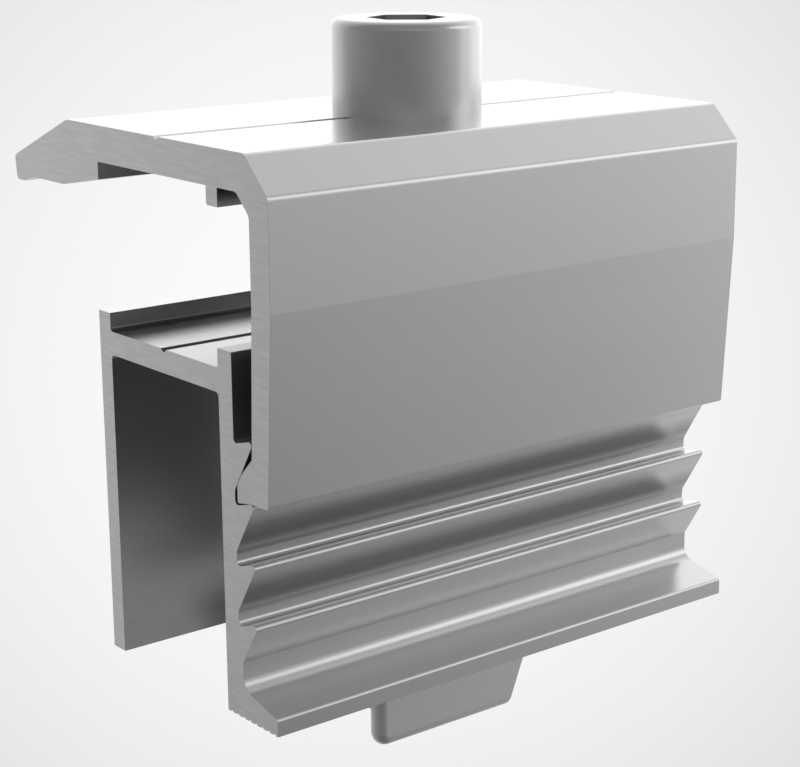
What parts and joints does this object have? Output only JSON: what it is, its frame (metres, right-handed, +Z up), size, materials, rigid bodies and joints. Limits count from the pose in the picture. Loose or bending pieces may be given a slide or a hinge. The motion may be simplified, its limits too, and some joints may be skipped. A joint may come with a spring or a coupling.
{
  "type": "solar panel end clamp",
  "caption": "Two-part extruded end clamp: a hooked jaw over a toothed base, drawn down on a rail by a socket head screw and slot nut.",
  "frame": {"origin": "where the screw's axis crosses the rail face that the foot and the left leg stand on", "axes": "+X from the pressing nose to the toothed leg, +Y along the extrusions, +Z up along the screw"},
  "size_m": [0.0388, 0.05, 0.0634],
  "materials": {
    "extrusion": "mill finish, fine brushed cut ends",
    "screw_steel": "bright, smooth",
    "nut_steel": "plain, satin"
  },
  "bodies": {
    "base": {"clamp_base": "extrusion"},
    "jaw": {"clamp_jaw": "extrusion"},
    "screw": {"cap_screw": "screw_steel"},
    "nut": {"slot_nut": "nut_steel"}
  },
  "joints": [
    {"name": "jaw_tilt", "type": "hinge", "parent": "base", "child": "jaw", "pos_m": [0.0067, 0, 0.041], "axis": [0, -1, 0], "range_deg": [0, 5]},
    {"name": "screw_turn", "type": "hinge", "parent": "base", "child": "screw", "pos_m": [0, 0, 0], "axis": [0, 0, 1], "range_deg": [-4320, 720]},
    {"name": "nut_travel", "type": "slide", "parent": "base", "child": "nut", "axis": [0, 0, 1], "range_m": [-0.0025, 0.015]}
  ],
  "couplings": [
    {"joint": "nut_travel", "follows": "screw_turn", "m_per_rad": -0.00019894}
  ]
}
